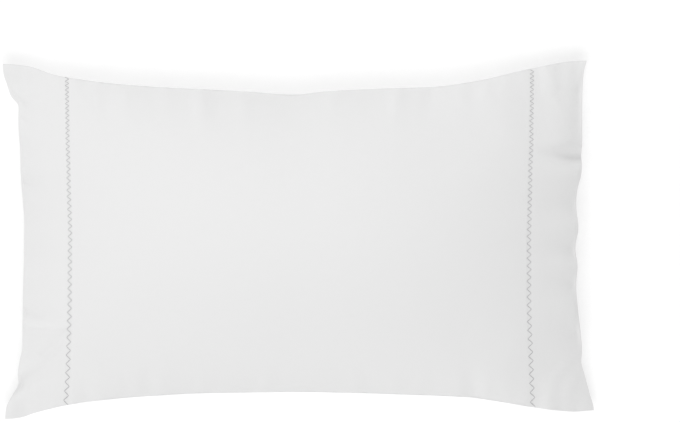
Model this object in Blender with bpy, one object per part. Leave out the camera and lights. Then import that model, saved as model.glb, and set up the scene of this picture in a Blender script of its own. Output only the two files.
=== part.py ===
"""A filled white cotton pillowcase lying on its back, for Blender 4.5 (metres, +Z up).

The sewn end points to -X and the open end, with its deep hem, to +X. The case rests at z = 0 on
the flat of its underside, and the origin is under the middle of its outline.

One closed body: a front and a back panel of the same cut, stuffed between them, with flat pointed
ears at the corners, sides drawn in by the stuffing, and a shallow mouth between the two hems.
"""

from math import exp, pi, sin, sqrt
from typing import NamedTuple

import bmesh
import bpy
from mathutils import Vector


class Tip(NamedTuple):
    """A corner of the case: its place in plan."""

    x: float
    y: float


class EdgePoint(NamedTuple):
    """A point of an edge: how far along the straight line between two tips, and how far drawn in."""

    along: float
    draw_in: float


class Fold(NamedTuple):
    """A soft ridge (height > 0) or trough (height < 0) of the front panel, from start to end."""

    start_x: float
    start_y: float
    end_x: float
    end_y: float
    half_width: float
    height: float


class RimRow(NamedTuple):
    """A row of the rim between the panels: shares of the mouth's depth and of its half height."""

    depth: float
    height: float


# Driving sizes
CREST_HEIGHT = 0.180          # top of the crown above the surface it rests on
SEAM_HEIGHT = 0.072           # side seams and mouth above that surface
TIP_HEIGHT = 0.046            # corner tips, which sag below the seams
CLOTH = 0.0015                # one ply of the doubled hem or seam edge

# Shares of the length or width over which a panel swells from its edge to its full height
FRONT_END_REACH = 0.46
FRONT_SIDE_REACH = 0.50
BACK_END_REACH = 0.15
BACK_SIDE_REACH = 0.24

SEAM_EASE = 0.12              # how far past its upright start a panel's rise meets the seam

# Ears: the stuffing stops short of each tip
EAR_LENGTH = 0.150            # from the tip to where the case is fully stuffed
EAR_SAG_LENGTH = 0.100        # from the tip to where it no longer sags

# How fast a drawn-in edge straightens out towards the middle of the case
END_FADE = 6
SIDE_FADE = 3

# Mouth between the two hems
MOUTH_GAP = 0.013             # between the lips at their middle
MOUTH_DEPTH = 0.045
MOUTH_START = 0.08            # share of the open end left shut at each corner
MOUTH_EASE = 0.30             # share over which it then opens to the full gap
LIP_REACH = 0.10              # share of the length over which the raised lips ease into the panels
SEAM_GROOVE_GAP = 0.0008
SEAM_GROOVE_DEPTH = 0.0012

# Mesh
LENGTH_QUADS = 54
WIDTH_QUADS = 34
EDGE_CROWDING = 0.55          # 0 for even rows, towards 1 for finer rows at the edges

NEAR_SEWN = Tip(-0.3989, -0.2437)
FAR_SEWN = Tip(-0.4016, 0.2390)
NEAR_OPEN = Tip(0.4016, -0.2322)
FAR_OPEN = Tip(0.3908, 0.2437)
TIPS = (NEAR_SEWN, FAR_SEWN, NEAR_OPEN, FAR_OPEN)

NEAR_SIDE = (
    EdgePoint(0.000, 0.0000),
    EdgePoint(0.020, 0.0016),
    EdgePoint(0.042, 0.0084),
    EdgePoint(0.085, 0.0185),
    EdgePoint(0.128, 0.0246),
    EdgePoint(0.193, 0.0296),
    EdgePoint(0.280, 0.0328),
    EdgePoint(0.387, 0.0329),
    EdgePoint(0.474, 0.0302),
    EdgePoint(0.560, 0.0261),
    EdgePoint(0.625, 0.0224),
    EdgePoint(0.668, 0.0159),
    EdgePoint(0.711, 0.0076),
    EdgePoint(0.755, 0.0008),
    EdgePoint(0.776, -0.0010),
    EdgePoint(0.8006, 0.0000),
)
FAR_SIDE = (
    EdgePoint(0.000, 0.0000),
    EdgePoint(0.031, 0.0025),
    EdgePoint(0.072, 0.0158),
    EdgePoint(0.104, 0.0217),
    EdgePoint(0.153, 0.0286),
    EdgePoint(0.228, 0.0344),
    EdgePoint(0.323, 0.0397),
    EdgePoint(0.398, 0.0449),
    EdgePoint(0.436, 0.0410),
    EdgePoint(0.512, 0.0375),
    EdgePoint(0.587, 0.0352),
    EdgePoint(0.644, 0.0274),
    EdgePoint(0.701, 0.0143),
    EdgePoint(0.738, 0.0064),
    EdgePoint(0.768, 0.0013),
    EdgePoint(0.7925, 0.0000),
)
SEWN_END = (
    EdgePoint(0.000, 0.0000),
    EdgePoint(0.017, 0.0021),
    EdgePoint(0.033, 0.0104),
    EdgePoint(0.050, 0.0194),
    EdgePoint(0.060, 0.0184),
    EdgePoint(0.082, 0.0216),
    EdgePoint(0.098, 0.0256),
    EdgePoint(0.147, 0.0267),
    EdgePoint(0.212, 0.0289),
    EdgePoint(0.268, 0.0298),
    EdgePoint(0.325, 0.0258),
    EdgePoint(0.374, 0.0238),
    EdgePoint(0.406, 0.0214),
    EdgePoint(0.425, 0.0217),
    EdgePoint(0.438, 0.0112),
    EdgePoint(0.455, 0.0054),
    EdgePoint(0.471, 0.0006),
    EdgePoint(0.4826, 0.0000),
)
OPEN_END = (
    EdgePoint(0.000, 0.0000),
    EdgePoint(0.024, 0.0058),
    EdgePoint(0.049, 0.0124),
    EdgePoint(0.070, 0.0176),
    EdgePoint(0.081, 0.0164),
    EdgePoint(0.097, 0.0174),
    EdgePoint(0.138, 0.0217),
    EdgePoint(0.172, 0.0238),
    EdgePoint(0.197, 0.0212),
    EdgePoint(0.223, 0.0240),
    EdgePoint(0.248, 0.0189),
    EdgePoint(0.280, 0.0213),
    EdgePoint(0.300, 0.0195),
    EdgePoint(0.324, 0.0126),
    EdgePoint(0.381, 0.0100),
    EdgePoint(0.435, 0.0067),
    EdgePoint(0.462, 0.0037),
    EdgePoint(0.476, 0.0000),
)

FOLDS = (
    # dent that crosses the far half of the open hem
    Fold(0.386, 0.113, 0.318, 0.116, 0.009, -0.0090),
    # ripples of the free hem
    Fold(0.376, 0.048, 0.340, 0.044, 0.013, -0.0030),
    Fold(0.380, 0.018, 0.345, 0.016, 0.011, 0.0022),
    Fold(0.376, -0.012, 0.340, -0.016, 0.013, -0.0028),
    Fold(0.378, -0.061, 0.342, -0.056, 0.014, -0.0030),
    Fold(0.386, -0.130, 0.350, -0.112, 0.014, -0.0034),
    # rounded ears at the open end
    Fold(0.352, 0.205, 0.354, 0.132, 0.028, 0.0050),
    Fold(0.366, -0.222, 0.354, -0.165, 0.028, 0.0050),
    # creases that run from the ears and the sewn end into the panel
    Fold(-0.380, 0.180, -0.338, 0.150, 0.009, -0.0035),
    Fold(-0.380, -0.195, -0.340, -0.160, 0.009, -0.0035),
    Fold(-0.366, 0.077, -0.348, 0.074, 0.008, -0.0022),
    Fold(-0.370, -0.108, -0.322, -0.118, 0.010, -0.0028),
    Fold(0.398, -0.212, 0.374, -0.142, 0.011, -0.0065),
    # puckers that hang from the far seam
    Fold(-0.228, 0.196, -0.224, 0.150, 0.013, 0.0022),
    Fold(-0.148, 0.192, -0.140, 0.150, 0.014, 0.0024),
    Fold(-0.084, 0.190, -0.080, 0.152, 0.013, 0.0020),
    Fold(-0.004, 0.188, -0.004, 0.148, 0.012, -0.0026),
    Fold(0.132, 0.190, 0.128, 0.150, 0.014, 0.0020),
)

RIM_ROWS = (
    RimRow(0.00, 1.00),
    RimRow(0.80, 0.96),
    RimRow(1.00, 0.60),
    RimRow(1.00, -0.60),
    RimRow(0.80, -0.96),
    RimRow(0.00, -1.00),
)


def clear_scene():
    """Remove what the opening scene holds."""
    for item in list(bpy.data.objects):
        bpy.data.objects.remove(item, do_unlink=True)


def smoothstep(value, low, high):
    """0 below low, 1 above high, and a smooth step between them."""
    share = min(max((value - low) / (high - low), 0.0), 1.0)
    return share * share * (3.0 - 2.0 * share)


def slope_at(points, index):
    """Slope of an edge curve at one of its points, level at a turning point so that it never overshoots."""
    if index in (0, len(points) - 1):
        return 0.0
    before, here, after = points[index - 1:index + 2]
    rise = (here.draw_in - before.draw_in) / (here.along - before.along)
    climb = (after.draw_in - here.draw_in) / (after.along - here.along)
    if rise * climb <= 0.0:
        return 0.0
    return 2.0 * rise * climb / (rise + climb)


def draw_in_at(points, along):
    """How far an edge is drawn in at a distance along it: a smooth curve through its points."""
    last = len(points) - 2
    index = min(max(i for i in range(len(points)) if points[i].along <= along), last)
    start, end = points[index], points[index + 1]
    span = end.along - start.along
    t = (along - start.along) / span
    return (
        (2 * t**3 - 3 * t**2 + 1) * start.draw_in
        + (t**3 - 2 * t**2 + t) * span * slope_at(points, index)
        + (3 * t**2 - 2 * t**3) * end.draw_in
        + (t**3 - t**2) * span * slope_at(points, index + 1)
    )


def edge_pull(points, start, end, share):
    """The vector by which the edge from one tip to the next is drawn in, to the left of that line."""
    line = Vector(end) - Vector(start)
    inward = Vector((-line.y, line.x)).normalized()
    along = min(max(share, 0.0), 1.0) * points[-1].along
    return inward * draw_in_at(points, along)


def planform(u, v):
    """Place in plan of a cloth point: u from the sewn to the open end, v from the near to the far side."""
    near = Vector(NEAR_SEWN).lerp(Vector(NEAR_OPEN), u)
    far = Vector(FAR_SEWN).lerp(Vector(FAR_OPEN), u)
    place = near.lerp(far, v)
    place += edge_pull(NEAR_SIDE, NEAR_SEWN, NEAR_OPEN, u) * (1 - v) ** SIDE_FADE
    place -= edge_pull(FAR_SIDE, FAR_SEWN, FAR_OPEN, u) * v**SIDE_FADE
    place -= edge_pull(SEWN_END, NEAR_SEWN, FAR_SEWN, v) * (1 - u) ** END_FADE
    place += edge_pull(OPEN_END, NEAR_OPEN, FAR_OPEN, v) * u**END_FADE
    return place


def tip_distance(place):
    """Distance in plan to the nearest tip."""
    return min((place - Vector(tip)).length for tip in TIPS)


def swell(share, reach):
    """Rise of a stuffed panel inwards from its edge, 0 there and 1 from reach on: most of a quarter ellipse."""
    remaining = (1.0 - SEAM_EASE) * (1.0 - min(share / reach, 1.0))
    start = sqrt(1.0 - (1.0 - SEAM_EASE) ** 2)
    return (sqrt(1.0 - remaining**2) - start) / (1.0 - start)


def stuffing(u, v, place, end_reach, side_reach):
    """How full the case is at a point, from 0 at its edges to 1, allowing for the flat ears."""
    ears = smoothstep(tip_distance(place), 0.0, EAR_LENGTH)
    return swell(min(u, 1 - u), end_reach) * swell(min(v, 1 - v), side_reach) * ears


def middle_height(place):
    """Height of the seam plane: level, but for the ears, which sag to their tips."""
    sag = exp(-((tip_distance(place) / EAR_SAG_LENGTH) ** 2))
    return SEAM_HEIGHT - (SEAM_HEIGHT - TIP_HEIGHT) * sag


def mouth_opening(u, v):
    """How far the mouth is open at a point, 0 on the seams and 1 in the middle of the open end."""
    along = smoothstep(min(v, 1 - v), MOUTH_START, MOUTH_START + MOUTH_EASE)
    return along * smoothstep(u, 1 - LIP_REACH, 1.0)


def half_gap(u, v):
    """Half the gap between the panels: a fine groove along the seams, wider at the mouth."""
    return (SEAM_GROOVE_GAP + (MOUTH_GAP - SEAM_GROOVE_GAP) * mouth_opening(u, v)) / 2


def fold_height(place):
    """Height that the folds add at a place on the front panel."""
    height = 0.0
    for fold in FOLDS:
        start, end = Vector((fold.start_x, fold.start_y)), Vector((fold.end_x, fold.end_y))
        line = end - start
        share = (place - start).dot(line) / line.length_squared
        nearest = start + line * min(max(share, 0.0), 1.0)
        fading = 1.0 - 0.75 * smoothstep(share, 0.2, 1.0)
        height += fold.height * fading * exp(-(((place - nearest).length / fold.half_width) ** 2))
    return height


def front_point(u, v):
    """A point of the front panel."""
    place = planform(u, v)
    fullness = stuffing(u, v, place, FRONT_END_REACH, FRONT_SIDE_REACH)
    edge = middle_height(place) + half_gap(u, v) + CLOTH
    height = edge + (CREST_HEIGHT - edge) * fullness
    return Vector((*place, height + fold_height(place) * smoothstep(fullness, 0.02, 0.25)))


def back_point(u, v):
    """A point of the back panel, which is flat where the case rests."""
    place = planform(u, v)
    fullness = stuffing(u, v, place, BACK_END_REACH, BACK_SIDE_REACH)
    edge = middle_height(place) - half_gap(u, v) - CLOTH
    return Vector((*place, edge * (1.0 - fullness)))


def inward_from_rim(u, v):
    """Direction in plan from a point of the rim straight into the case."""
    step = 0.01
    inner = planform(min(max(u, step), 1 - step), min(max(v, step), 1 - step))
    return (inner - planform(u, v)).normalized()


def rim_point(u, v, row):
    """A point of the rim between the panels, which goes in as a groove at the seams and as the mouth."""
    place = planform(u, v)
    middle = middle_height(place)
    depth = SEAM_GROOVE_DEPTH + (MOUTH_DEPTH - SEAM_GROOVE_DEPTH) * mouth_opening(u, v)
    inset = place + inward_from_rim(u, v) * depth * row.depth
    return Vector((*inset, middle + half_gap(u, v) * row.height))


def crowd(share):
    """Move evenly spaced rows towards the two edges."""
    return share - EDGE_CROWDING * sin(2 * pi * share) / (2 * pi)


def add_panel(mesh, cut_u, cut_v, point_at):
    """Add one panel as a grid of rows, each vertex keeping its place on the flat cut, then stuffed."""
    grid = bmesh.ops.create_grid(mesh, x_segments=LENGTH_QUADS, y_segments=WIDTH_QUADS, size=0.5)
    for vert in grid["verts"]:
        vert[cut_u] = crowd(vert.co.x + 0.5)
        vert[cut_v] = crowd(vert.co.y + 0.5)
        vert.co = point_at(vert[cut_u], vert[cut_v])
    return [edge for edge in {e for vert in grid["verts"] for e in vert.link_edges} if edge.is_boundary]


def build_case():
    """The filled case as one closed mesh."""
    mesh = bmesh.new()
    cut_u = mesh.verts.layers.float.new("cut_u")
    cut_v = mesh.verts.layers.float.new("cut_v")
    rim = add_panel(mesh, cut_u, cut_v, front_point)
    back_rim = add_panel(mesh, cut_u, cut_v, back_point)
    for row in RIM_ROWS:
        grown = bmesh.ops.extrude_edge_only(mesh, edges=rim)["geom"]
        rim = [item for item in grown if isinstance(item, bmesh.types.BMEdge) and item.is_boundary]
        for vert in {vert for edge in rim for vert in edge.verts}:
            vert.co = rim_point(vert[cut_u], vert[cut_v], row)
    bmesh.ops.bridge_loops(mesh, edges=rim + back_rim)
    bmesh.ops.recalc_face_normals(mesh, faces=mesh.faces)
    return mesh


def cotton():
    """Plain white cotton."""
    material = bpy.data.materials.new("white_cotton")
    material.use_nodes = True
    shader = material.node_tree.nodes["Principled BSDF"]
    shader.inputs["Base Color"].default_value = (0.84, 0.84, 0.84, 1.0)
    shader.inputs["Roughness"].default_value = 0.9
    shader.inputs["Metallic"].default_value = 0.0
    return material


def main():
    """Build the pillowcase in its own collection."""
    clear_scene()
    collection = bpy.data.collections.new("pillowcase_parts")
    bpy.context.scene.collection.children.link(collection)

    case = build_case()
    data = bpy.data.meshes.new("pillowcase")
    case.to_mesh(data)
    case.free()
    data.shade_smooth()
    data.materials.append(cotton())
    collection.objects.link(bpy.data.objects.new("pillowcase", data))


main()
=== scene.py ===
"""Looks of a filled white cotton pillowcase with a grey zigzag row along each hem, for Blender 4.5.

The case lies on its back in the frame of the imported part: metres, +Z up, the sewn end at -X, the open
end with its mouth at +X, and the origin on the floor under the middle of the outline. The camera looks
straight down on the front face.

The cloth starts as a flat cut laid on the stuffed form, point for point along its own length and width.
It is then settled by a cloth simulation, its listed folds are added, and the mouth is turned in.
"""

from __future__ import annotations

import logging
import math
from dataclasses import dataclass
from enum import Enum

import bmesh
import bpy
import numpy as np
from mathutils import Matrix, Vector
from mathutils.bvhtree import BVHTree

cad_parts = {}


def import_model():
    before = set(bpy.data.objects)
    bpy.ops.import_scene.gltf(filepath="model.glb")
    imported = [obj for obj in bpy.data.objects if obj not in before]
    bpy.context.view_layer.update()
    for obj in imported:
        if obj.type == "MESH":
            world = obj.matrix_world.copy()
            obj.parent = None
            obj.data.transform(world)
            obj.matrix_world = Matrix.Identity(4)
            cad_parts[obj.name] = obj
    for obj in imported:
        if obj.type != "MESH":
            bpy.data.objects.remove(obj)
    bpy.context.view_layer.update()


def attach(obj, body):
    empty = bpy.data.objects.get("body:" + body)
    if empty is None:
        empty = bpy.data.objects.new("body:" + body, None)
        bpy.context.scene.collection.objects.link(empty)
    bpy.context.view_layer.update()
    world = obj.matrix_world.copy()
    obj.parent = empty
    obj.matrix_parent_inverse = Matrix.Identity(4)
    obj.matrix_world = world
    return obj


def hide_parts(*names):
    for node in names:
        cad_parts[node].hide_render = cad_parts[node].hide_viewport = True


log = logging.getLogger("pillowcase")

BODY = "root"
CASE_NODE = "pillowcase"


class Panel(Enum):
    """The two panels of the case, with the sign of their side of the seam plane."""

    FRONT = 1
    BACK = -1


class CaseEnd(Enum):
    """The two ends of the case, with the sign of their side of the middle."""

    SEWN = -1
    OPEN = 1


@dataclass(frozen=True)
class EdgePoint:
    """A point of an edge: how far along the straight line between two tips, and how far drawn in."""

    along: float
    draw_in: float


@dataclass(frozen=True)
class EdgeCurve:
    """An edge of the case in plan, as a smooth curve drawn in from the straight line between two tips."""

    start: tuple[float, float]
    end: tuple[float, float]
    points: tuple[EdgePoint, ...]

    def draw_in(self, along: np.ndarray) -> np.ndarray:
        """How far the edge is drawn in.

        Args:
            along: distances from the first tip, along the straight line.

        Returns:
            The draw-in at each of them, on a cubic through the points that never overshoots.
        """
        xs = np.array([point.along for point in self.points])
        ys = np.array([point.draw_in for point in self.points])
        secants = np.diff(ys) / np.diff(xs)
        before, after = secants[:-1], secants[1:]
        slopes = np.zeros_like(ys)
        steady = before * after > 0
        slopes[1:-1][steady] = 2 * before[steady] * after[steady] / (before[steady] + after[steady])
        index = np.clip(np.searchsorted(xs, along, side="right") - 1, 0, len(xs) - 2)
        span = xs[index + 1] - xs[index]
        t = (along - xs[index]) / span
        return (
            (2 * t**3 - 3 * t**2 + 1) * ys[index]
            + (t**3 - 2 * t**2 + t) * span * slopes[index]
            + (3 * t**2 - 2 * t**3) * ys[index + 1]
            + (t**3 - t**2) * span * slopes[index + 1]
        )

    def pull(self, share: np.ndarray) -> np.ndarray:
        """The vectors in plan that draw the edge in, to the left of its line, at shares of its length.

        Args:
            share: shares of the way from the first tip to the second.

        Returns:
            A vector for each of them, with x, y on the last axis.
        """
        line = np.subtract(self.end, self.start)
        inward = np.array([-line[1], line[0]]) / np.hypot(*line)
        return self.draw_in(np.clip(share, 0, 1) * self.points[-1].along)[..., None] * inward


NEAR_SEWN = (-0.3989, -0.2437)
FAR_SEWN = (-0.4016, 0.2390)
NEAR_OPEN = (0.4016, -0.2322)
FAR_OPEN = (0.3908, 0.2437)

NEAR_SIDE = EdgeCurve(
    NEAR_SEWN,
    NEAR_OPEN,
    (
        EdgePoint(0.000, 0.0000),
        EdgePoint(0.020, 0.0016),
        EdgePoint(0.042, 0.0084),
        EdgePoint(0.085, 0.0185),
        EdgePoint(0.128, 0.0246),
        EdgePoint(0.193, 0.0296),
        EdgePoint(0.280, 0.0328),
        EdgePoint(0.387, 0.0329),
        EdgePoint(0.474, 0.0302),
        EdgePoint(0.560, 0.0261),
        EdgePoint(0.625, 0.0224),
        EdgePoint(0.668, 0.0159),
        EdgePoint(0.711, 0.0076),
        EdgePoint(0.755, 0.0008),
        EdgePoint(0.776, -0.0010),
        EdgePoint(0.8006, 0.0000),
    ),
)
FAR_SIDE = EdgeCurve(
    FAR_OPEN,
    FAR_SEWN,
    (
        EdgePoint(0.0000, 0.0000),
        EdgePoint(0.0245, 0.0013),
        EdgePoint(0.0545, 0.0064),
        EdgePoint(0.0915, 0.0143),
        EdgePoint(0.1485, 0.0274),
        EdgePoint(0.2055, 0.0352),
        EdgePoint(0.2805, 0.0375),
        EdgePoint(0.3565, 0.0410),
        EdgePoint(0.3945, 0.0449),
        EdgePoint(0.4695, 0.0397),
        EdgePoint(0.5645, 0.0344),
        EdgePoint(0.6395, 0.0286),
        EdgePoint(0.6885, 0.0217),
        EdgePoint(0.7205, 0.0158),
        EdgePoint(0.7615, 0.0025),
        EdgePoint(0.7925, 0.0000),
    ),
)
SEWN_END = EdgeCurve(
    FAR_SEWN,
    NEAR_SEWN,
    (
        EdgePoint(0.0000, 0.0000),
        EdgePoint(0.0120, 0.0006),
        EdgePoint(0.0280, 0.0054),
        EdgePoint(0.0446, 0.0112),
        EdgePoint(0.0580, 0.0217),
        EdgePoint(0.0770, 0.0214),
        EdgePoint(0.1090, 0.0238),
        EdgePoint(0.1580, 0.0258),
        EdgePoint(0.2146, 0.0298),
        EdgePoint(0.2710, 0.0289),
        EdgePoint(0.3360, 0.0267),
        EdgePoint(0.3848, 0.0256),
        EdgePoint(0.4010, 0.0216),
        EdgePoint(0.4226, 0.0184),
        EdgePoint(0.4330, 0.0194),
        EdgePoint(0.4496, 0.0104),
        EdgePoint(0.4660, 0.0021),
        EdgePoint(0.4827, 0.0000),
    ),
)
OPEN_END = EdgeCurve(
    NEAR_OPEN,
    FAR_OPEN,
    (
        EdgePoint(0.000, 0.0000),
        EdgePoint(0.024, 0.0058),
        EdgePoint(0.049, 0.0124),
        EdgePoint(0.070, 0.0176),
        EdgePoint(0.081, 0.0164),
        EdgePoint(0.097, 0.0174),
        EdgePoint(0.138, 0.0217),
        EdgePoint(0.172, 0.0238),
        EdgePoint(0.197, 0.0212),
        EdgePoint(0.223, 0.0240),
        EdgePoint(0.248, 0.0189),
        EdgePoint(0.280, 0.0213),
        EdgePoint(0.300, 0.0195),
        EdgePoint(0.324, 0.0126),
        EdgePoint(0.381, 0.0100),
        EdgePoint(0.435, 0.0067),
        EdgePoint(0.462, 0.0037),
        EdgePoint(0.476, 0.0000),
    ),
)


def smoothstep(value: np.ndarray, low: float, high: float) -> np.ndarray:
    """0 below low, 1 above high, and a smooth step between them.

    Args:
        value: the values that step.
        low: where the step starts.
        high: where it ends.

    Returns:
        The step's height at each value.
    """
    share = np.clip((np.asarray(value, float) - low) / (high - low), 0.0, 1.0)
    return share * share * (3.0 - 2.0 * share)


@dataclass(frozen=True)
class Reach:
    """How far a panel swells: shares of the length and the width from an edge to its full height."""

    end: float
    side: float


@dataclass(frozen=True)
class HemWave:
    """A place where the front's free hem rises (height > 0) or dips (height < 0) between the seams."""

    y: float
    half_width: float
    height: float


HEM_WAVES = (
    HemWave(y=0.113, half_width=0.0110, height=-0.0100),
    HemWave(y=0.083, half_width=0.014, height=0.0012),
    HemWave(y=0.047, half_width=0.015, height=-0.0030),
    HemWave(y=0.016, half_width=0.014, height=0.0018),
    HemWave(y=-0.010, half_width=0.013, height=-0.0028),
    HemWave(y=-0.035, half_width=0.013, height=0.0014),
    HemWave(y=-0.062, half_width=0.016, height=-0.0026),
    HemWave(y=-0.100, half_width=0.020, height=0.0012),
)


@dataclass(frozen=True)
class PillowForm:
    """The stuffed form of the case, which gives a place to every point (u, v) of its two panels.

    u runs from the sewn end to the open end and v from the near side to the far side.
    """

    crest_height: float = 0.180
    seam_height: float = 0.072
    tip_height: float = 0.046
    ear_length: float = 0.150
    ear_sag_length: float = 0.100
    end_fade: float = 6.0
    side_fade: float = 3.0
    seam_ease: float = 0.12
    seam_wave_height: float = 0.0008
    seam_wave_reach: float = 0.16
    side_waves: tuple[tuple[float, float], ...] = ((0.067, 0.7), (0.043, 2.1), (0.029, 4.0))
    end_waves: tuple[tuple[float, float], ...] = ((0.071, 0.3), (0.046, 1.6))
    front_reach: Reach = Reach(end=0.46, side=0.50)
    back_reach: Reach = Reach(end=0.15, side=0.24)
    mouth_gap: float = 0.013
    mouth_start: float = 0.08
    mouth_ease: float = 0.30
    lip_reach: float = 0.10

    def planform(self, u: np.ndarray, v: np.ndarray) -> np.ndarray:
        """Places in plan of cloth points, as an array whose last axis is x, y.

        Args:
            u: shares of the length, from the sewn end.
            v: shares of the width, from the near side.

        Returns:
            The places inside the four drawn-in edges.
        """
        u1, v1 = u[..., None], v[..., None]
        near = (1 - u1) * np.array(NEAR_SEWN) + u1 * np.array(NEAR_OPEN)
        far = (1 - u1) * np.array(FAR_SEWN) + u1 * np.array(FAR_OPEN)
        place = (1 - v1) * near + v1 * far
        place = place + NEAR_SIDE.pull(u) * (1 - v1) ** self.side_fade
        place = place + FAR_SIDE.pull(1 - u) * v1**self.side_fade
        place = place + SEWN_END.pull(1 - v) * (1 - u1) ** self.end_fade
        return place + OPEN_END.pull(v) * u1**self.end_fade

    def tip_distance(self, place: np.ndarray) -> np.ndarray:
        """Distances in plan to the nearest tip."""
        tips = (NEAR_SEWN, FAR_SEWN, NEAR_OPEN, FAR_OPEN)
        return np.min([np.hypot(place[..., 0] - x, place[..., 1] - y) for x, y in tips], axis=0)

    def middle_height(self, place: np.ndarray) -> np.ndarray:
        """Heights of the seam plane, which is level but for the sagging ears."""
        sag = np.exp(-((self.tip_distance(place) / self.ear_sag_length) ** 2))
        return self.seam_height - (self.seam_height - self.tip_height) * sag

    def seam_wave(self, u: np.ndarray, v: np.ndarray, place: np.ndarray) -> np.ndarray:
        """How far the puckers of the nearest seam raise the cloth, along the sides and the sewn end.

        Args:
            u: shares of the length, from the sewn end.
            v: shares of the width, from the near side.
            place: the same points in plan.

        Returns:
            The rise at each point, in metres.
        """
        beside = 1 - smoothstep(np.minimum(v, 1 - v), 0.0, self.seam_wave_reach)
        behind = 1 - smoothstep(u, 0.0, self.seam_wave_reach)
        rise = np.zeros_like(u)
        for waves, axis, nearness in ((self.side_waves, 0, beside), (self.end_waves, 1, behind)):
            for length, phase in waves:
                rise = rise + nearness * np.sin(2 * math.pi * place[..., axis] / length + phase)
        return self.seam_wave_height * rise

    def mouth_opening(self, u: np.ndarray, v: np.ndarray) -> np.ndarray:
        """How far the mouth is open, from 0 on the seams to 1 in the middle of the open end.

        Args:
            u: shares of the length, from the sewn end.
            v: shares of the width, from the near side.

        Returns:
            The opening at each point, which closes over the reach of the lip.
        """
        along = smoothstep(np.minimum(v, 1 - v), self.mouth_start, self.mouth_start + self.mouth_ease)
        return along * smoothstep(u, 1 - self.lip_reach, 1.0)

    @staticmethod
    def hem_wave(y: np.ndarray) -> np.ndarray:
        """How far the waves of the free hem raise the front's edge."""
        return sum(wave.height * np.exp(-(((y - wave.y) / wave.half_width) ** 2)) for wave in HEM_WAVES)

    def stuffing(self, u: np.ndarray, v: np.ndarray, place: np.ndarray, reach: Reach) -> np.ndarray:
        """How full the case is, from 0 at its edges to 1, allowing for the flat ears.

        Args:
            u: shares of the length, from the sewn end.
            v: shares of the width, from the near side.
            place: the same points in plan.
            reach: how far in from its edges the panel swells.

        Returns:
            The fullness at each point.
        """
        end = self.swell(np.minimum(u, 1 - u) / reach.end)
        side = self.swell(np.minimum(v, 1 - v) / reach.side)
        return end * side * smoothstep(self.tip_distance(place), 0.0, self.ear_length)

    def swell(self, share: np.ndarray) -> np.ndarray:
        """Rise of a stuffed panel inwards from its seam: an ellipse, entered where it isn't upright.

        Args:
            share: shares of the way from the seam to the full height.

        Returns:
            The rise, from 0 to 1.
        """
        entered = self.seam_ease + (1 - self.seam_ease) * np.clip(share, 0, 1)
        start = math.sqrt(1 - (1 - self.seam_ease) ** 2)
        return (np.sqrt(1 - (1 - entered) ** 2) - start) / (1 - start)

    def surface(self, panel: Panel, u: np.ndarray, v: np.ndarray) -> np.ndarray:
        """Points of a panel's outer face.

        Args:
            panel: the front or the back.
            u: shares of the length, from the sewn end.
            v: shares of the width, from the near side, in the same shape.

        Returns:
            The points, in an array of that shape with x, y, z on its last axis.
        """
        place = self.planform(u, v)
        opening = self.mouth_opening(u, v)
        lip = self.mouth_gap / 2 * opening
        middle = self.middle_height(place) + self.seam_wave(u, v, place)
        if panel is Panel.FRONT:
            edge = middle + lip + opening * self.hem_wave(place[..., 1])
            fullness = self.stuffing(u, v, place, self.front_reach)
            height = edge + (self.crest_height - edge) * fullness
        else:
            edge = middle - lip
            fullness = self.stuffing(u, v, place, self.back_reach)
            height = edge * (1 - fullness)
        return np.concatenate([place, height[..., None]], axis=-1)


@dataclass(frozen=True)
class FlatCut:
    """A panel of the case as it is cut, and its rows of quads, which are finer towards the edges."""

    length: float = 0.819
    width: float = 0.503
    length_quads: int = 132
    width_quads: int = 80
    edge_crowding: float = 0.45
    survey: int = 241

    def rows(self, quads: int) -> np.ndarray:
        """Shares of a side at which its rows of vertices lie."""
        even = np.linspace(0, 1, quads + 1)
        return even - self.edge_crowding * np.sin(2 * math.pi * even) / (2 * math.pi)

    def laid_on(self, form: PillowForm, panel: Panel) -> np.ndarray:
        """Lay the panel on the stuffed form so that distances along the cloth stay in proportion.

        Args:
            form: the stuffed form.
            panel: which of its panels.

        Returns:
            The points of the grid, with axes length row, width row and x, y, z.
        """
        fine = np.linspace(0, 1, self.survey)
        rows_u, rows_v = self.rows(self.length_quads), self.rows(self.width_quads)
        u, v = np.meshgrid(fine, fine, indexing="ij")
        even_u = np.stack(
            [np.interp(rows_u, along, fine) for along in self.share_along(form.surface(panel, u, v), 0).T],
            axis=1,
        )
        v = np.broadcast_to(fine, even_u.shape)
        share = self.share_along(form.surface(panel, even_u, v), 1)
        even_v = np.stack([np.interp(rows_v, along, fine) for along in share])
        moved_u = np.stack([np.interp(line_v, fine, line_u) for line_v, line_u in zip(even_v, even_u)])
        return form.surface(panel, moved_u, even_v)

    @staticmethod
    def share_along(points: np.ndarray, axis: int) -> np.ndarray:
        """Share of the distance along the cloth, from 0 to 1, for lines of points that run along axis.

        Args:
            points: a grid of points, with x, y, z on its last axis.
            axis: the axis of the grid that the lines run along.

        Returns:
            The share at each point of the grid.
        """
        steps = np.linalg.norm(np.diff(points, axis=axis), axis=-1)
        pad = [(0, 0), (0, 0)]
        pad[axis] = (1, 0)
        along = np.cumsum(np.pad(steps, pad), axis=axis)
        return along / np.take(along, [-1], axis=axis)


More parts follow.
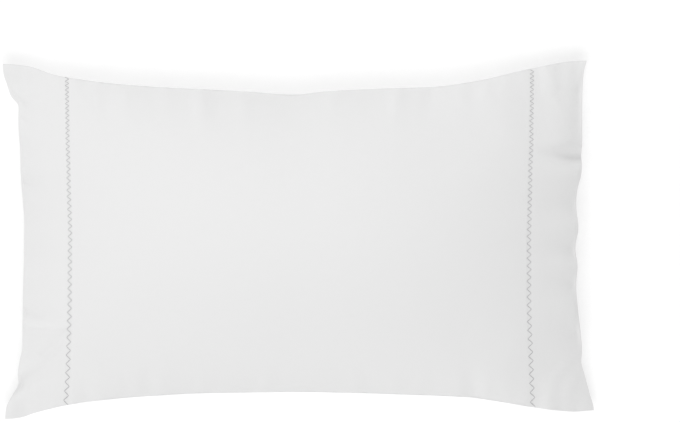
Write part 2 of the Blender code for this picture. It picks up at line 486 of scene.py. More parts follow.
@dataclass(frozen=True)
class Settling:
    """The cloth simulation that settles the case over its stuffing, and how far it may move the cloth."""

    frames: int = 20
    pressure: float = 4.0
    hold: float = 0.14
    tension: float = 15.0
    shear: float = 5.0
    bending: float = 0.6
    quality: int = 6
    cap: float = 0.014

    def run(self, case: bpy.types.Object, flat: np.ndarray, fixed: np.ndarray) -> np.ndarray:
        """Settle the cloth.

        Args:
            case: the case's mesh object, lying on its stuffed form.
            flat: where each vertex lies on the flat cut, which sets the lengths of the cloth.
            fixed: for each vertex, whether it is held in place, as the seams are.

        Returns:
            The settled places of the vertices.
        """
        start = vertex_places(case.data)
        case.shape_key_add(name="stuffed")
        cut = case.shape_key_add(name="cut")
        cut.data.foreach_set("co", flat.astype(np.float32).ravel())
        held = case.vertex_groups.new(name="held")
        held.add([int(i) for i in np.flatnonzero(~fixed)], self.hold, "REPLACE")
        held.add([int(i) for i in np.flatnonzero(fixed)], 1.0, "REPLACE")

        modifier = case.modifiers.new("cloth", "CLOTH")
        settings = modifier.settings
        settings.quality = self.quality
        settings.tension_stiffness = self.tension
        settings.compression_stiffness = self.tension
        settings.shear_stiffness = self.shear
        settings.bending_stiffness = self.bending
        settings.use_pressure = True
        settings.uniform_pressure_force = self.pressure
        settings.effector_weights.gravity = 0.0
        settings.vertex_group_mass = held.name
        settings.rest_shape_key = cut
        modifier.collision_settings.use_collision = False
        modifier.point_cache.frame_start = 1
        modifier.point_cache.frame_end = self.frames
        scene = bpy.context.scene
        for frame in range(1, self.frames + 1):
            scene.frame_set(frame)
        evaluated = case.evaluated_get(bpy.context.evaluated_depsgraph_get())
        settled = vertex_places(evaluated.to_mesh())
        evaluated.to_mesh_clear()

        case.modifiers.remove(modifier)
        case.vertex_groups.clear()
        case.shape_key_clear()
        scene.frame_set(1)
        move = settled - start
        length = np.linalg.norm(move, axis=1, keepdims=True)
        return start + move * np.tanh(length / self.cap) * self.cap / np.maximum(length, 1e-9)


def vertex_places(mesh: bpy.types.Mesh) -> np.ndarray:
    """The places of a mesh's vertices, one row each.

    Args:
        mesh: the mesh.

    Returns:
        An array of its vertices by x, y, z.
    """
    places = np.empty(len(mesh.vertices) * 3, np.float32)
    mesh.vertices.foreach_get("co", places)
    return places.reshape(-1, 3).astype(float)


def move_vertices(mesh: bpy.types.Mesh, places: np.ndarray) -> None:
    """Put a mesh's vertices at places, one row each."""
    mesh.vertices.foreach_set("co", places.astype(np.float32).ravel())


def attribute_values(mesh: bpy.types.Mesh, name: str) -> np.ndarray:
    """The values of a mesh's float attribute, one for each vertex.

    Args:
        mesh: the mesh.
        name: the attribute's name.

    Returns:
        An array of the values.
    """
    values = np.empty(len(mesh.vertices), np.float32)
    mesh.attributes[name].data.foreach_get("value", values)
    return values.astype(float)


@dataclass(frozen=True)
class Fold:
    """A soft ridge (height > 0) or trough (height < 0) across the cloth, in plan, from start to end."""

    start: tuple[float, float]
    end: tuple[float, float]
    half_width: float
    height: float
    fade: float = 0.75
    fade_from: float = 0.2

    def height_at(self, place: np.ndarray) -> np.ndarray:
        """What the fold adds to the height of the cloth at places in plan.

        Args:
            place: the places, with x, y on the last axis.

        Returns:
            The heights, in metres, which fade from the fold's start to its end.
        """
        start, line = np.array(self.start), np.subtract(self.end, self.start)
        share = (place - start) @ line / (line @ line)
        nearest = start + np.clip(share, 0, 1)[..., None] * line
        distance = np.linalg.norm(place - nearest, axis=-1)
        fading = 1 - self.fade * smoothstep(share, self.fade_from, 1.0)
        return self.height * fading * np.exp(-((distance / self.half_width) ** 2))


SHARED_FOLDS = (
    # the dent that crosses the far half of the open hem
    Fold((0.392, 0.1130), (0.318, 0.1165), 0.0094, -0.0112, fade=0.85),
    # the near ear of the open end, whose corner droops
    Fold((0.356, -0.205), (0.350, -0.150), 0.034, 0.0042, fade=0.5),
    Fold((0.408, -0.226), (0.390, -0.150), 0.021, -0.0115, fade=0.6),
    Fold((0.396, -0.238), (0.335, -0.222), 0.018, -0.0060, fade=0.8),
    # the near ear of the sewn end
    Fold((-0.396, -0.252), (-0.335, -0.228), 0.018, -0.0050, fade=0.6),
)
FRONT_FOLDS = (
    # ripples of the open hem, from its dent to the near ear
    Fold((0.384, 0.090), (0.340, 0.089), 0.010, 0.0012),
    Fold((0.384, 0.048), (0.345, 0.044), 0.012, -0.0024),
    Fold((0.382, 0.016), (0.350, 0.014), 0.011, 0.0014),
    Fold((0.380, -0.012), (0.342, -0.018), 0.010, -0.0030),
    Fold((0.384, -0.061), (0.345, -0.054), 0.011, -0.0032),
    Fold((0.372, -0.092), (0.338, -0.084), 0.014, 0.0016),
    Fold((0.384, -0.130), (0.345, -0.112), 0.011, -0.0034),
    # the far ear of the open end, which rolls over towards its edge
    Fold((0.352, 0.205), (0.354, 0.132), 0.028, 0.0060, fade=0.1),
    Fold((0.384, 0.200), (0.377, 0.132), 0.012, -0.0034, fade=0.2),
    # the sewn end and its ears, from the far side to the near side
    Fold((-0.394, 0.200), (-0.374, 0.182), 0.006, -0.0040, fade=0.5),
    Fold((-0.384, 0.168), (-0.358, 0.154), 0.006, -0.0024),
    Fold((-0.380, 0.200), (-0.340, 0.180), 0.010, 0.0022),
    Fold((-0.384, -0.200), (-0.328, -0.166), 0.009, -0.0054),
    Fold((-0.376, -0.184), (-0.335, -0.150), 0.009, 0.0026),
    Fold((-0.372, 0.078), (-0.352, 0.074), 0.007, -0.0044),
    Fold((-0.374, -0.097), (-0.335, -0.104), 0.008, -0.0062, fade=0.6),
    Fold((-0.374, -0.118), (-0.318, -0.118), 0.006, 0.0044, fade=0.5),
    Fold((-0.342, -0.156), (-0.310, -0.128), 0.008, -0.0056, fade=0.3),
    # puckers that hang from the far seam
    Fold((-0.262, 0.206), (-0.256, 0.160), 0.010, -0.0028),
    Fold((-0.234, 0.206), (-0.228, 0.164), 0.011, 0.0050),
    Fold((-0.190, 0.205), (-0.186, 0.166), 0.010, -0.0022),
    Fold((-0.134, 0.204), (-0.128, 0.152), 0.011, 0.0054),
    Fold((-0.112, 0.203), (-0.108, 0.162), 0.010, -0.0028),
    Fold((-0.078, 0.202), (-0.070, 0.160), 0.013, 0.0048),
    Fold((-0.010, 0.198), (-0.008, 0.160), 0.010, -0.0026),
    Fold((0.050, 0.202), (0.048, 0.165), 0.016, 0.0040),
    Fold((0.134, 0.206), (0.128, 0.162), 0.012, 0.0044),
    Fold((0.178, 0.210), (0.170, 0.160), 0.012, -0.0030),
    # soft hollows along the near seam
    Fold((-0.205, -0.204), (-0.198, -0.165), 0.012, -0.0022),
    Fold((-0.060, -0.208), (-0.058, -0.168), 0.013, -0.0018),
    Fold((0.090, -0.208), (0.086, -0.168), 0.013, -0.0022),
    Fold((0.235, -0.212), (0.226, -0.168), 0.012, -0.0026),
    # broad, shallow unevenness of the stuffed face
    Fold((-0.250, -0.150), (-0.110, -0.060), 0.035, -0.0016, fade=0.9),
    Fold((0.240, 0.150), (0.120, 0.060), 0.035, -0.0016, fade=0.9),
    Fold((0.250, -0.140), (0.140, -0.070), 0.032, -0.0016, fade=0.9),
    Fold((-0.240, 0.140), (-0.140, 0.070), 0.032, -0.0012, fade=0.9),
)


@dataclass(frozen=True)
class LipRow:
    """A row of the cloth as it turns in at the mouth.

    drop is how far it lies inside the outer edge's height, in thicknesses of the hem, out how far it
    lies beyond the edge in plan, in the same unit, and depth its share of the mouth's depth.
    """

    drop: float
    out: float = 0.0
    depth: float = 0.0


LIP_ROWS = (
    LipRow(drop=0.20, out=0.35),
    LipRow(drop=0.60, out=0.40),
    LipRow(drop=0.95, out=0.10),
    LipRow(drop=1.00, depth=0.10),
    LipRow(drop=0.80, depth=0.40),
    LipRow(drop=0.80, depth=0.75),
    LipRow(drop=1.60, depth=0.95),
    LipRow(drop=100.0, depth=1.0),
)


@dataclass(frozen=True)
class FilledCase:
    """The case: two panels welded along the seams, settled, folded, and turned in at the mouth.

    Its folds die out over fold_margin from an edge. The panels lie on each other within ply_contact of a
    sewn edge and are clear of each other from ply_reach, and ply_gap is kept between them.
    """

    form: PillowForm = PillowForm()
    cut: FlatCut = FlatCut()
    settling: Settling = Settling()
    folds: tuple[Fold, ...] = FRONT_FOLDS
    shared_folds: tuple[Fold, ...] = SHARED_FOLDS
    rows: tuple[ZigzagRow, ...] = ()
    fold_margin: float = 0.006
    ply_reach: float = 0.060
    ply_contact: float = 0.018
    ply_gap: float = 0.0004
    lip_margin: float = 0.3
    hem_thickness: float = 0.0020
    mouth_depth: float = 0.045
    seam_crease: float = 0.75
    sharp_angle: float = math.radians(50)
    weld_distance: float = 0.00002
    rim_tolerance: float = 1e-6
    floor_tolerance: float = 1e-5
    far_from_rows: float = 1.0

    def build(self, cloth: bpy.types.Material) -> bpy.types.Object:
        """Make the case as one object in its place.

        Args:
            cloth: the material of the cloth.

        Returns:
            The finished object.
        """
        shell = self.sewn_shell()
        data = bpy.data.meshes.new("case_cloth")
        shell.to_mesh(data)
        shell.free()
        case = bpy.data.objects.new("case_cloth", data)
        bpy.context.scene.collection.objects.link(case)

        flat, fixed = self.flat_places(data), self.held_vertices(data)
        places = self.settling.run(case, flat, fixed)
        places[:, 2] = np.maximum(places[:, 2], 0.0)
        move_vertices(data, places)
        self.turn_in_mouth(data)
        self.subdivide(case)
        self.press_folds(case.data)
        self.part_plies(case.data)
        self.add_distances(case.data)
        case.data.materials.append(cloth)
        case.data.shade_smooth()
        case.data.set_sharp_from_angle(angle=self.sharp_angle)
        return case

    def sewn_shell(self) -> bmesh.types.BMesh:
        """The two panels on the stuffed form, welded where they are sewn.

        Returns:
            The shell, with its shares of the cut, its creased edges and its UV map.
        """
        shell = bmesh.new()
        length_share = shell.verts.layers.float.new("length_share")
        width_share = shell.verts.layers.float.new("width_share")
        panel_sign = shell.verts.layers.float.new("panel_sign")
        shell.verts.layers.float.new("lip_share")
        rows_u, rows_v = self.cut.rows(self.cut.length_quads), self.cut.rows(self.cut.width_quads)
        for panel in Panel:
            laid = self.cut.laid_on(self.form, panel)
            grid = bmesh.ops.create_grid(
                shell, x_segments=self.cut.length_quads, y_segments=self.cut.width_quads, size=0.5
            )
            for vert in grid["verts"]:
                i = round((vert.co.x + 0.5) * self.cut.length_quads)
                j = round((vert.co.y + 0.5) * self.cut.width_quads)
                vert[length_share], vert[width_share] = rows_u[i], rows_v[j]
                vert[panel_sign] = panel.value
                vert.co = laid[i, j]
            if panel is Panel.BACK:
                faces = {face for vert in grid["verts"] for face in vert.link_faces}
                bmesh.ops.reverse_faces(shell, faces=list(faces))
        rim = [vert for vert in shell.verts if vert.is_boundary]
        bmesh.ops.remove_doubles(shell, verts=rim, dist=self.weld_distance)
        crease = shell.edges.layers.float.new("crease_edge")
        for edge in shell.edges:
            if all(self.on_rim(vert[length_share], vert[width_share]) for vert in edge.verts):
                edge[crease] = self.seam_crease
        uv = shell.loops.layers.uv.new("cut")
        for face in shell.faces:
            for loop in face.loops:
                along, across = loop.vert[length_share], loop.vert[width_share]
                loop[uv].uv = (along * self.cut.length, across * self.cut.width)
        return shell

    @staticmethod
    def on_rim(length_share: float, width_share: float) -> bool:
        """Whether a point of the cut lies on its edge."""
        return length_share in (0.0, 1.0) or width_share in (0.0, 1.0)

    def flat_places(self, data: bpy.types.Mesh) -> np.ndarray:
        """Where each vertex lies on the flat cut."""
        along, across = self.shares(data)
        return np.stack([along * self.cut.length, across * self.cut.width, 0 * along], axis=1)

    @staticmethod
    def shares(data: bpy.types.Mesh) -> tuple[np.ndarray, np.ndarray]:
        """The shares of the cut's length and width at which each vertex lies."""
        return attribute_values(data, "length_share"), attribute_values(data, "width_share")

    def held_vertices(self, data: bpy.types.Mesh) -> np.ndarray:
        """Whether each vertex is held: along the seams and the mouth, and where the case lies flat.

        Args:
            data: the case's mesh, lying on its stuffed form.

        Returns:
            True or false for each vertex.
        """
        along, across = self.shares(data)
        to_rim = np.minimum(np.minimum(along, 1 - along), np.minimum(across, 1 - across))
        return (to_rim < self.rim_tolerance) | (vertex_places(data)[:, 2] < self.floor_tolerance)

    def press_folds(self, data: bpy.types.Mesh) -> None:
        """Raise and lower the front panel by its listed folds, and both panels by the shared ones.

        Beside the closed seams, where the panels lie on each other, the back one gives way to troughs.

        Args:
            data: the case's mesh, settled and smoothed.
        """
        places = vertex_places(data)
        height = sum(fold.height_at(places[:, :2]) for fold in self.folds)
        front = attribute_values(data, "panel_sign") > 0
        beside = 1 - smoothstep(self.inside_closed_seams(data), self.ply_contact, self.ply_reach)
        height = np.where(front, height, np.minimum(height, 0.0) * beside)
        height *= attribute_values(data, "lip_share") == 0
        height *= smoothstep(self.inside_seams(data), 0.0, self.fold_margin)
        height += sum(fold.height_at(places[:, :2]) for fold in self.shared_folds)
        places[:, 2] = np.maximum(places[:, 2] + height, 0.0)
        move_vertices(data, places)

    def part_plies(self, data: bpy.types.Mesh) -> None:
        """Keep the front panel above the back one, and what is turned in at the mouth between them.

        Args:
            data: the case's mesh, after its folds are pressed in.
        """
        places = vertex_places(data)
        sign, lip = attribute_values(data, "panel_sign"), attribute_values(data, "lip_share")
        faces = [list(face.vertices) for face in data.polygons]
        faces = [face for face in faces if lip[face].max() == 0]
        back = BVHTree.FromPolygons(places.tolist(), [face for face in faces if sign[face].sum() < 0])
        gaps = self.ply_gap * smoothstep(self.inside_seams(data), 0.0, self.fold_margin)
        beside = self.inside_closed_seams(data) < self.ply_reach
        down = Vector((0, 0, -1))
        for index in np.flatnonzero((sign > 0) & (lip == 0) & beside):
            hit = back.ray_cast(Vector((*places[index, :2], 1.0)), down)[0]
            if hit is not None:
                places[index, 2] = max(places[index, 2], hit.z + gaps[index])
        front = BVHTree.FromPolygons(places.tolist(), [face for face in faces if sign[face].sum() > 0])
        for index in np.flatnonzero(lip > 0.5):
            start = Vector((*places[index, :2], 1.0))
            low, high = back.ray_cast(start, down)[0], front.ray_cast(start, down)[0]
            if low is not None and high is not None:
                margin = self.lip_margin * max(high.z - low.z, 0.0)
                places[index, 2] = np.clip(places[index, 2], low.z + margin, high.z - margin)
        move_vertices(data, places)

    def inside_closed_seams(self, data: bpy.types.Mesh) -> np.ndarray:
        """How far each vertex lies inside the sewn edges of its panel, which leave out the open end."""
        along, across = self.shares(data)
        return np.minimum(along * self.cut.length, np.minimum(across, 1 - across) * self.cut.width)

    def inside_seams(self, data: bpy.types.Mesh) -> np.ndarray:
        """How far each vertex lies inside the edges of its panel, the open end among them."""
        along, _ = self.shares(data)
        return np.minimum(self.inside_closed_seams(data), (1 - along) * self.cut.length)

    def turn_in_mouth(self, data: bpy.types.Mesh) -> None:
        """Turn the free edge of the mouth inwards, round its hem, and close it deep inside.

        Args:
            data: the case's mesh, after it has settled.
        """
        shell = bmesh.new()
        shell.from_mesh(data)
        across = shell.verts.layers.float["width_share"]
        lip_share = shell.verts.layers.float["lip_share"]
        base_z = shell.verts.layers.float.new("base_z")
        base_x = shell.verts.layers.float.new("base_x")
        edges = [edge for edge in shell.edges if edge.is_boundary]
        rim_heights = {}
        for vert in {vert for edge in edges for vert in edge.verts}:
            vert[base_x], vert[base_z] = vert.co.x, vert.co.z
            rim_heights.setdefault(round(vert[across], 6), []).append(vert.co.z)
        for row in LIP_ROWS:
            grown = bmesh.ops.extrude_edge_only(shell, edges=edges)["geom"]
            edges = [item for item in grown if isinstance(item, bmesh.types.BMEdge) and item.is_boundary]
            for vert in {vert for edge in edges for vert in edge.verts}:
                heights = rim_heights[round(vert[across], 6)]
                half = (max(heights) - min(heights)) / 2
                centre = (max(heights) + min(heights)) / 2
                open_share = min(half / self.hem_thickness, 1.0)
                inside = max(half - self.hem_thickness * row.drop * open_share, 0.0)
                side = 1 if vert[base_z] >= centre else -1
                depth = self.mouth_depth * row.depth * min(2 * half / self.form.mouth_gap, 1.0)
                out = self.hem_thickness * row.out * open_share
                vert.co.x = vert[base_x] + out - depth
                vert.co.z = centre + side * inside
                vert[lip_share] = 1.0
        lips = [vert for vert in shell.verts if vert[lip_share] > 0 or vert.is_boundary]
        bmesh.ops.remove_doubles(shell, verts=lips, dist=self.weld_distance)
        bmesh.ops.recalc_face_normals(shell, faces=shell.faces)
        shell.to_mesh(data)
        shell.free()

    def subdivide(self, case: bpy.types.Object) -> None:
        """Smooth the mesh by one subdivision, applied.

        Args:
            case: the case's mesh object.
        """
        modifier = case.modifiers.new("smooth", "SUBSURF")
        modifier.levels = modifier.render_levels = 1
        evaluated = case.evaluated_get(bpy.context.evaluated_depsgraph_get())
        smooth = bpy.data.meshes.new_from_object(evaluated)
        case.modifiers.remove(modifier)
        rough, case.data = case.data, smooth
        smooth.name = "case_cloth"
        bpy.data.meshes.remove(rough)

    def add_distances(self, data: bpy.types.Mesh) -> None:
        """Give each vertex its distance to the zigzag row (above 0 on the hem) and to the nearest seam.

        Args:
            data: the case's mesh.
        """
        places = vertex_places(data)
        sign = attribute_values(data, "panel_sign")
        nearest = np.full(len(places), self.far_from_rows)
        for row in self.rows:
            beyond = (places[:, 0] - row.middle_x(places[:, 1])) * row.case_end.value
            same = (sign * row.panel.value > 0) & (places[:, 0] * row.case_end.value > 0)
            nearest[same] = beyond[same]
        to_seam = self.inside_seams(data)
        for name, values in (("row_distance", nearest), ("seam_distance", to_seam)):
            layer = data.attributes.new(name, "FLOAT", "POINT")
            layer.data.foreach_set("value", values.astype(np.float32))


class NodeTools:
    """Short ways to add shader nodes to a material."""

    def __init__(self, name: str) -> None:
        """Start a material that has one shader.

        Args:
            name: the material's name.
        """
        self.material = bpy.data.materials.new(name)
        self.material.use_nodes = True
        self.tree = self.material.node_tree
        self.shader = self.tree.nodes["Principled BSDF"]

    def set(self, **values: float | tuple[float, ...]) -> None:
        """Set inputs of the shader, by their names with underscores for spaces."""
        for name, value in values.items():
            self.shader.inputs[name.replace("_", " ")].default_value = value

    def attribute(self, name: str) -> bpy.types.NodeSocket:
        """The value of a float attribute of the mesh.

        Args:
            name: the attribute's name.

        Returns:
            The socket that holds it.
        """
        node = self.tree.nodes.new("ShaderNodeAttribute")
        node.attribute_name = name
        return node.outputs["Fac"]

    def uv_axes(self, name: str) -> tuple[bpy.types.NodeSocket, bpy.types.NodeSocket, bpy.types.NodeSocket]:
        """The place on a UV map, as a vector and as its two axes.

        Args:
            name: the map's name.

        Returns:
            The sockets of the vector, its x and its y.
        """
        node = self.tree.nodes.new("ShaderNodeUVMap")
        node.uv_map = name
        split = self.tree.nodes.new("ShaderNodeSeparateXYZ")
        self.tree.links.new(node.outputs["UV"], split.inputs["Vector"])
        return node.outputs["UV"], split.outputs["X"], split.outputs["Y"]

    def math(self, operation: str, *values: bpy.types.NodeSocket | float) -> bpy.types.NodeSocket:
        """The result of a maths operation on sockets and numbers.

        Args:
            operation: the operation, in the node's own words.
            values: what it works on, in order.

        Returns:
            The socket of the result.
        """
        node = self.tree.nodes.new("ShaderNodeMath")
        node.operation = operation
        for socket, value in zip(node.inputs, values):
            if isinstance(value, bpy.types.NodeSocket):
                self.tree.links.new(value, socket)
            else:
                socket.default_value = value
        return node.outputs["Value"]

    def noise(self, place: bpy.types.NodeSocket, x: float, y: float, detail: float) -> bpy.types.NodeSocket:
        """Noise from -0.5 to 0.5 over a place, with a scale for each axis.

        Args:
            place: the socket of the place.
            x: waves to a metre along x.
            y: waves to a metre along y.
            detail: how many finer layers it has.

        Returns:
            The socket of the noise.
        """
        mapping = self.tree.nodes.new("ShaderNodeMapping")
        mapping.inputs["Scale"].default_value = (x, y, 1.0)
        self.tree.links.new(place, mapping.inputs["Vector"])
        node = self.tree.nodes.new("ShaderNodeTexNoise")
        node.inputs["Scale"].default_value = 1.0
        node.inputs["Detail"].default_value = detail
        self.tree.links.new(mapping.outputs["Vector"], node.inputs["Vector"])
        return self.math("SUBTRACT", node.outputs["Fac"], 0.5)

    def ramp(self, value: bpy.types.NodeSocket, low: float, high: float) -> bpy.types.NodeSocket:
        """A smooth step of a value, from 0 at low to 1 at high.

        Args:
            value: the socket of the value.
            low: where the step starts.
            high: where it ends.

        Returns:
            The socket of the step.
        """
        node = self.tree.nodes.new("ShaderNodeMapRange")
        node.interpolation_type = "SMOOTHSTEP"
        node.inputs["From Min"].default_value = low
        node.inputs["From Max"].default_value = high
        self.tree.links.new(value, node.inputs["Value"])
        return node.outputs["Result"]

    def bump(self, *heights: bpy.types.NodeSocket) -> None:
        """Bump the shader's surface by the sum of some heights in millimetres.

        Args:
            heights: the sockets of the heights.
        """
        total = heights[0]
        for height in heights[1:]:
            total = self.math("ADD", total, height)
        node = self.tree.nodes.new("ShaderNodeBump")
        node.inputs["Strength"].default_value = 1.0
        node.inputs["Distance"].default_value = 0.001
        self.tree.links.new(total, node.inputs["Height"])
        self.tree.links.new(node.outputs["Normal"], self.shader.inputs["Normal"])


@dataclass(frozen=True)
class CottonFinish:
    """Matte white cotton in a fine plain weave, a little rumpled, pressed down along its sewn rows.

    Lengths are in metres, heights in millimetres, and the scales of the noises in waves to a metre.
    """

    colour: float = 0.84
    roughness: float = 0.95
    sheen: float = 0.05
    yarn_pitch: float = 0.0005
    yarn_height: float = 0.030
    slub_height: float = 0.05
    slub_scales: tuple[float, float] = (30.0, 900.0)
    rumple_height: float = 0.55
    rumple_scale: float = 38.0
    groove_depth: float = 0.35
    groove_width: float = 0.0045
    hem_step: float = 0.30
    hem_step_width: float = 0.0008
    gather_height: float = 0.9
    gather_scale: float = 85.0
    gather_reach: float = 0.030

    def material(self) -> bpy.types.Material:
        """Make the material, which reads the case's UV map and its distances to rows and seams.

        Returns:
            The material.
        """
        tools = NodeTools("white_cotton")
        tools.set(
            Base_Color=(self.colour, self.colour, self.colour, 1.0),
            Roughness=self.roughness,
            Specular_IOR_Level=0.15,
            Sheen_Weight=self.sheen,
            Sheen_Roughness=0.5,
        )
        place, along, across = tools.uv_axes("cut")
        turns = 2 * math.pi / self.yarn_pitch
        warp = tools.math("SINE", tools.math("MULTIPLY", along, turns))
        weft = tools.math("SINE", tools.math("MULTIPLY", across, turns))
        weave = tools.math("MULTIPLY", tools.math("MULTIPLY", warp, weft), self.yarn_height / 2)
        long_way, cross_way = self.slub_scales
        warp_slubs = tools.noise(place, long_way, cross_way, detail=1)
        weft_slubs = tools.noise(place, cross_way, long_way, detail=1)
        slubs = tools.math("MULTIPLY", tools.math("ADD", warp_slubs, weft_slubs), self.slub_height)
        rumple = tools.noise(place, self.rumple_scale, self.rumple_scale, detail=2)
        rumple = tools.math("MULTIPLY", rumple, self.rumple_height)

        to_row = tools.attribute("row_distance")
        step = tools.ramp(to_row, -self.hem_step_width, self.hem_step_width)
        step = tools.math("MULTIPLY", step, self.hem_step)
        beside = tools.ramp(tools.math("ABSOLUTE", to_row), 0.0, self.groove_width)
        groove = tools.math("MULTIPLY", tools.math("SUBTRACT", beside, 1.0), self.groove_depth)

        from_seam = tools.ramp(tools.attribute("seam_distance"), 0.0, self.gather_reach)
        near_seam = tools.math("SUBTRACT", 1.0, from_seam)
        gathers = tools.noise(place, self.gather_scale, self.gather_scale, detail=1)
        gathers = tools.math("MULTIPLY", gathers, near_seam)
        gathers = tools.math("MULTIPLY", gathers, self.gather_height)
        tools.bump(weave, slubs, rumple, step, groove, gathers)
        return tools.material


@dataclass(frozen=True)
class ThreadFinish:
    """Grey embroidery thread of twisted strands."""

    colour: tuple[float, float, float] = (0.40, 0.40, 0.41)
    roughness: float = 0.6
    strand_pitch: float = 0.0011
    strand_height: float = 0.12

    def material(self) -> bpy.types.Material:
        """Make the material, which reads the thread's UV map: turns around it, and metres along it.

        Returns:
            The material.
        """
        tools = NodeTools("grey_thread")
        tools.set(Base_Color=(*self.colour, 1.0), Roughness=self.roughness, Specular_IOR_Level=0.25)
        tools.set(Sheen_Weight=0.1)
        _, around, along = tools.uv_axes("thread")
        twist = tools.math("ADD", around, tools.math("DIVIDE", along, self.strand_pitch))
        strands = tools.math("ABSOLUTE", tools.math("SINE", tools.math("MULTIPLY", twist, 2 * math.pi)))
        tools.bump(tools.math("MULTIPLY", strands, self.strand_height))
        return tools.material


@dataclass(frozen=True)
class ZigzagRow:
    """A row of zigzag stitches across a panel, from its far side to its near side.

    line holds places of the row's middle line in plan, as (y, x), from the near side to the far side.
    The thread's middle lies middle_lift above the cloth between two turns and turn_depth below it at a
    turn, in radii of the thread, which narrows to turn_width of its radius there.
    """

    panel: Panel
    case_end: CaseEnd
    line: tuple[tuple[float, float], ...]
    far_half_width: float = 0.0027
    near_half_width: float = 0.0033
    far_pitch: float = 0.0058
    near_pitch: float = 0.0132
    far_radius: float = 0.00023
    near_radius: float = 0.00034
    middle_lift: float = 0.80
    turn_depth: float = 0.35
    turn_width: float = 0.75
    arch: float = 0.6
    sides: int = 8
    rings: int = 7

    @property
    def name(self) -> str:
        """The name of the row's object."""
        return f"zigzag_{self.panel.name}_{self.case_end.name}_end".lower()

    def middle_x(self, y: float | np.ndarray) -> float | np.ndarray:
        """Where the row's middle line lies along the case, at places across it."""
        ys, xs = np.array(self.line).T
        return np.interp(y, ys, xs)

    def turns(self) -> list[tuple[float, float]]:
        """Places in plan of the zigzag's turns, whose pitch grows steadily towards the near side.

        Returns:
            The turns in order, from the far side, as (x, y).
        """
        far, near = self.line[-1][0], self.line[0][0]
        growth = math.log(self.near_pitch / self.far_pitch)
        count = round(2 * (far - near) * growth / (self.near_pitch - self.far_pitch))
        places = []
        for turn in range(count + 1):
            share = math.expm1(growth * turn / count) / math.expm1(growth)
            y = far - share * (far - near)
            half_width = (1 - share) * self.far_half_width + share * self.near_half_width
            places.append((self.middle_x(y) + (half_width if turn % 2 else -half_width), y))
        return places

    def radius_at(self, y: float) -> float:
        """The thread's radius at a place across the case, which grows steadily towards the near side.

        Args:
            y: the place across the case.

        Returns:
            The radius, in metres.
        """
        far, near = self.line[-1][0], self.line[0][0]
        share = (far - y) / (far - near)
        return (1 - share) * self.far_radius + share * self.near_radius

    def build(self, cloth: BVHTree, thread: bpy.types.Material) -> bpy.types.Object:
        """Sew the row on the cloth.

        Args:
            cloth: the surface of the finished case.
            thread: the material of the thread.

        Returns:
            The row as one object.
        """
        mesh = bmesh.new()
        uv = mesh.loops.layers.uv.new("thread")
        turns = self.turns()
        for start, end in zip(turns, turns[1:]):
            self.add_stitch(mesh, uv, cloth, Vector(start), Vector(end))
        data = bpy.data.meshes.new(self.name)
        mesh.to_mesh(data)
        mesh.free()
        data.materials.append(thread)
        data.shade_smooth()
        row = bpy.data.objects.new(self.name, data)
        bpy.context.scene.collection.objects.link(row)
        return row

    def add_stitch(
        self,
        mesh: bmesh.types.BMesh,
        uv: bmesh.types.BMLayerItem,
        cloth: BVHTree,
        start: Vector,
        end: Vector,
    ) -> None:
        """Add one stitch: a thread that leaves the cloth at one turn and goes in again at the next.

        Args:
            mesh: the row's mesh, which the stitch joins.
            uv: its UV map.
            cloth: the surface of the finished case.
            start: the turn in plan where the stitch comes out.
            end: the turn in plan where it goes in.
        """
        rings, travelled, last = [], 0.0, None
        down = Vector((0, 0, -self.panel.value))
        full_radius = self.radius_at((start.y + end.y) / 2)
        for index in range(self.rings):
            share = index / (self.rings - 1)
            plan = start.lerp(end, share)
            hit, normal, _, _ = cloth.ray_cast(Vector((*plan, self.panel.value)), down)
            if hit is None:
                return
            rise = math.sin(math.pi * share) ** self.arch
            lift = (self.middle_lift + self.turn_depth) * rise - self.turn_depth
            centre = hit + normal * full_radius * lift
            travelled += (centre - last).length if last else 0.0
            last = centre
            side = normal.cross((end - start).to_3d()).normalized()
            radius = full_radius * (self.turn_width + (1 - self.turn_width) * rise)
            ring = []
            for corner in range(self.sides):
                angle = 2 * math.pi * corner / self.sides
                outward = math.cos(angle) * side + math.sin(angle) * normal
                ring.append(mesh.verts.new(centre + radius * outward))
            rings.append((ring, travelled))
        for (low, low_at), (high, high_at) in zip(rings, rings[1:]):
            for corner in range(self.sides):
                after = (corner + 1) % self.sides
                face = mesh.faces.new((low[corner], low[after], high[after], high[corner]))
                spots = ((corner, low_at), (corner + 1, low_at), (corner + 1, high_at), (corner, high_at))
                for loop, (turn, along) in zip(face.loops, spots):
                    loop[uv].uv = (turn / self.sides, along)
        mesh.faces.new(rings[0][0][::-1])
        mesh.faces.new(rings[-1][0])


SEWN_LINE = (
    (-0.2232, -0.3152),
    (-0.2160, -0.3146),
    (-0.2010, -0.3126),
    (-0.1710, -0.3098),
    (-0.1410, -0.3082),
    (-0.1110, -0.3065),
    (-0.0810, -0.3054),
    (-0.0500, -0.3052),
    (0.0060, -0.3045),
    (0.0360, -0.3052),
    (0.0660, -0.3067),
    (0.1000, -0.3074),
    (0.1260, -0.3089),
    (0.1560, -0.3101),
    (0.1860, -0.3117),
    (0.2203, -0.3135),
)
OPEN_LINE = (
    (-0.2258, 0.3171),
    (-0.2180, 0.3166),
    (-0.2010, 0.3153),
    (-0.1710, 0.3132),
    (-0.1410, 0.3115),
    (-0.1110, 0.3097),
    (-0.0810, 0.3089),
    (-0.0510, 0.3087),
    (0.0060, 0.3086),
    (0.0660, 0.3102),
    (0.1000, 0.3109),
    (0.1260, 0.3126),
    (0.1560, 0.3131),
    (0.1860, 0.3146),
    (0.2304, 0.3161),
)
ZIGZAG_ROWS = tuple(
    ZigzagRow(panel=panel, case_end=case_end, line=line)
    for panel in Panel
    for case_end, line in ((CaseEnd.SEWN, SEWN_LINE), (CaseEnd.OPEN, OPEN_LINE))
)


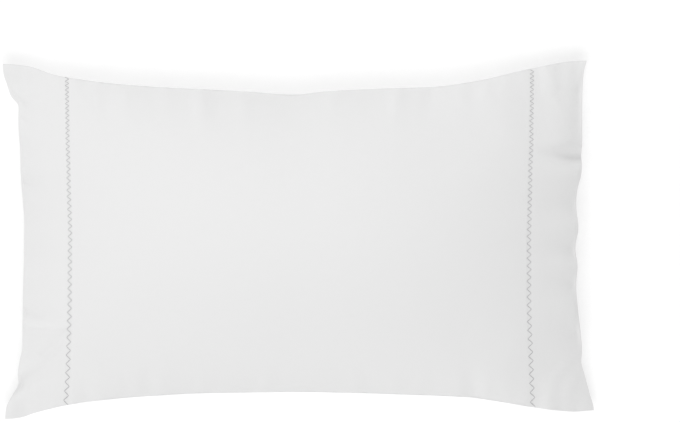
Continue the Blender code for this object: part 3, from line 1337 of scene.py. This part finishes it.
@dataclass(frozen=True)
class SoftLamp:
    """A round area lamp that looks at the case, placed by its angles in degrees (0 is +X, 90 is +Y)."""

    name: str
    azimuth: float
    elevation: float
    energy: float
    distance: float = 2.7
    size: float = 1.6
    aim: tuple[float, float, float] = (0.0, 0.0, 0.1)

    def build(self) -> None:
        """Hang the lamp."""
        azimuth, elevation = math.radians(self.azimuth), math.radians(self.elevation)
        level = math.cos(elevation)
        away = Vector((math.cos(azimuth) * level, math.sin(azimuth) * level, math.sin(elevation)))
        light = bpy.data.lights.new(self.name, "AREA")
        light.shape = "DISK"
        light.size = self.size
        light.energy = self.energy
        lamp = bpy.data.objects.new(self.name, light)
        lamp.location = Vector(self.aim) + away * self.distance
        lamp.rotation_euler = away.to_track_quat("Z", "Y").to_euler()
        bpy.context.scene.collection.objects.link(lamp)


@dataclass(frozen=True)
class Studio:
    """The floor, the soft lights and the camera."""

    pixel: float = 0.00135
    frame_pixels: tuple[int, int] = (680, 422)
    centre_pixel: tuple[float, float] = (298.5, 240.0)
    seam_height: float = 0.072
    camera_distance: float = 5.0
    sensor: float = 36.0
    floor_size: float = 14.0
    floor_colour: float = 0.72
    floor_glow: float = 0.36
    world_strength: float = 0.56
    lamps: tuple[SoftLamp, ...] = (
        SoftLamp("soft_key", azimuth=270, elevation=70, energy=26.6),
        SoftLamp("soft_far_fill", azimuth=90, elevation=20, energy=16.7),
        SoftLamp("soft_side_fill", azimuth=180, elevation=20, energy=9.0),
    )

    def build(self) -> None:
        """Make the floor, the lights and the camera."""
        self.add_floor()
        self.add_light()
        self.add_camera()

    def add_floor(self) -> None:
        """A plain pale floor that glows a little, as a light table does."""
        mesh = bmesh.new()
        bmesh.ops.create_grid(mesh, x_segments=1, y_segments=1, size=self.floor_size / 2)
        data = bpy.data.meshes.new("floor")
        mesh.to_mesh(data)
        mesh.free()
        floor = bpy.data.objects.new("floor", data)
        bpy.context.scene.collection.objects.link(floor)
        tools = NodeTools("pale_floor")
        tools.set(
            Base_Color=(self.floor_colour, self.floor_colour, self.floor_colour, 1.0),
            Roughness=1.0,
            Specular_IOR_Level=0.0,
            Emission_Color=(1.0, 1.0, 1.0, 1.0),
            Emission_Strength=self.floor_glow,
        )
        data.materials.append(tools.material)

    def add_light(self) -> None:
        """A pale surround and the soft lamps."""
        scene = bpy.context.scene
        scene.world = scene.world or bpy.data.worlds.new("surround")
        scene.world.use_nodes = True
        background = scene.world.node_tree.nodes["Background"]
        background.inputs["Color"].default_value = (1.0, 1.0, 1.0, 1.0)
        background.inputs["Strength"].default_value = self.world_strength
        for lamp in self.lamps:
            lamp.build()

    def add_camera(self) -> None:
        """A camera over the face, with the photograph's frame at the height of the seams."""
        scene = bpy.context.scene
        wide, high = self.frame_pixels
        lens = bpy.data.cameras.new("camera")
        lens.sensor_width = self.sensor
        lens.lens = self.sensor * self.camera_distance / (wide * self.pixel)
        lens.clip_end = 100.0
        camera = bpy.data.objects.new("camera", lens)
        camera.location = (
            (wide / 2 - self.centre_pixel[0]) * self.pixel,
            (self.centre_pixel[1] - high / 2) * self.pixel,
            self.seam_height + self.camera_distance,
        )
        scene.collection.objects.link(camera)
        scene.camera = camera
        scene.view_settings.view_transform = "Standard"


def main() -> None:
    """Build the pillowcase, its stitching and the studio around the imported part."""
    logging.basicConfig(level=logging.INFO, format="%(message)s")
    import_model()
    Studio().build()

    case = FilledCase(rows=ZIGZAG_ROWS).build(CottonFinish().material())
    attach(case, BODY)
    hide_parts(CASE_NODE)
    log.info("%s: %d faces", case.name, len(case.data.polygons))

    surface = BVHTree.FromObject(case, bpy.context.evaluated_depsgraph_get())
    thread = ThreadFinish().material()
    for zigzag in ZIGZAG_ROWS:
        row = zigzag.build(surface, thread)
        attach(row, BODY)
        log.info("%s: %d faces", row.name, len(row.data.polygons))


if __name__ == "__main__":
    main()
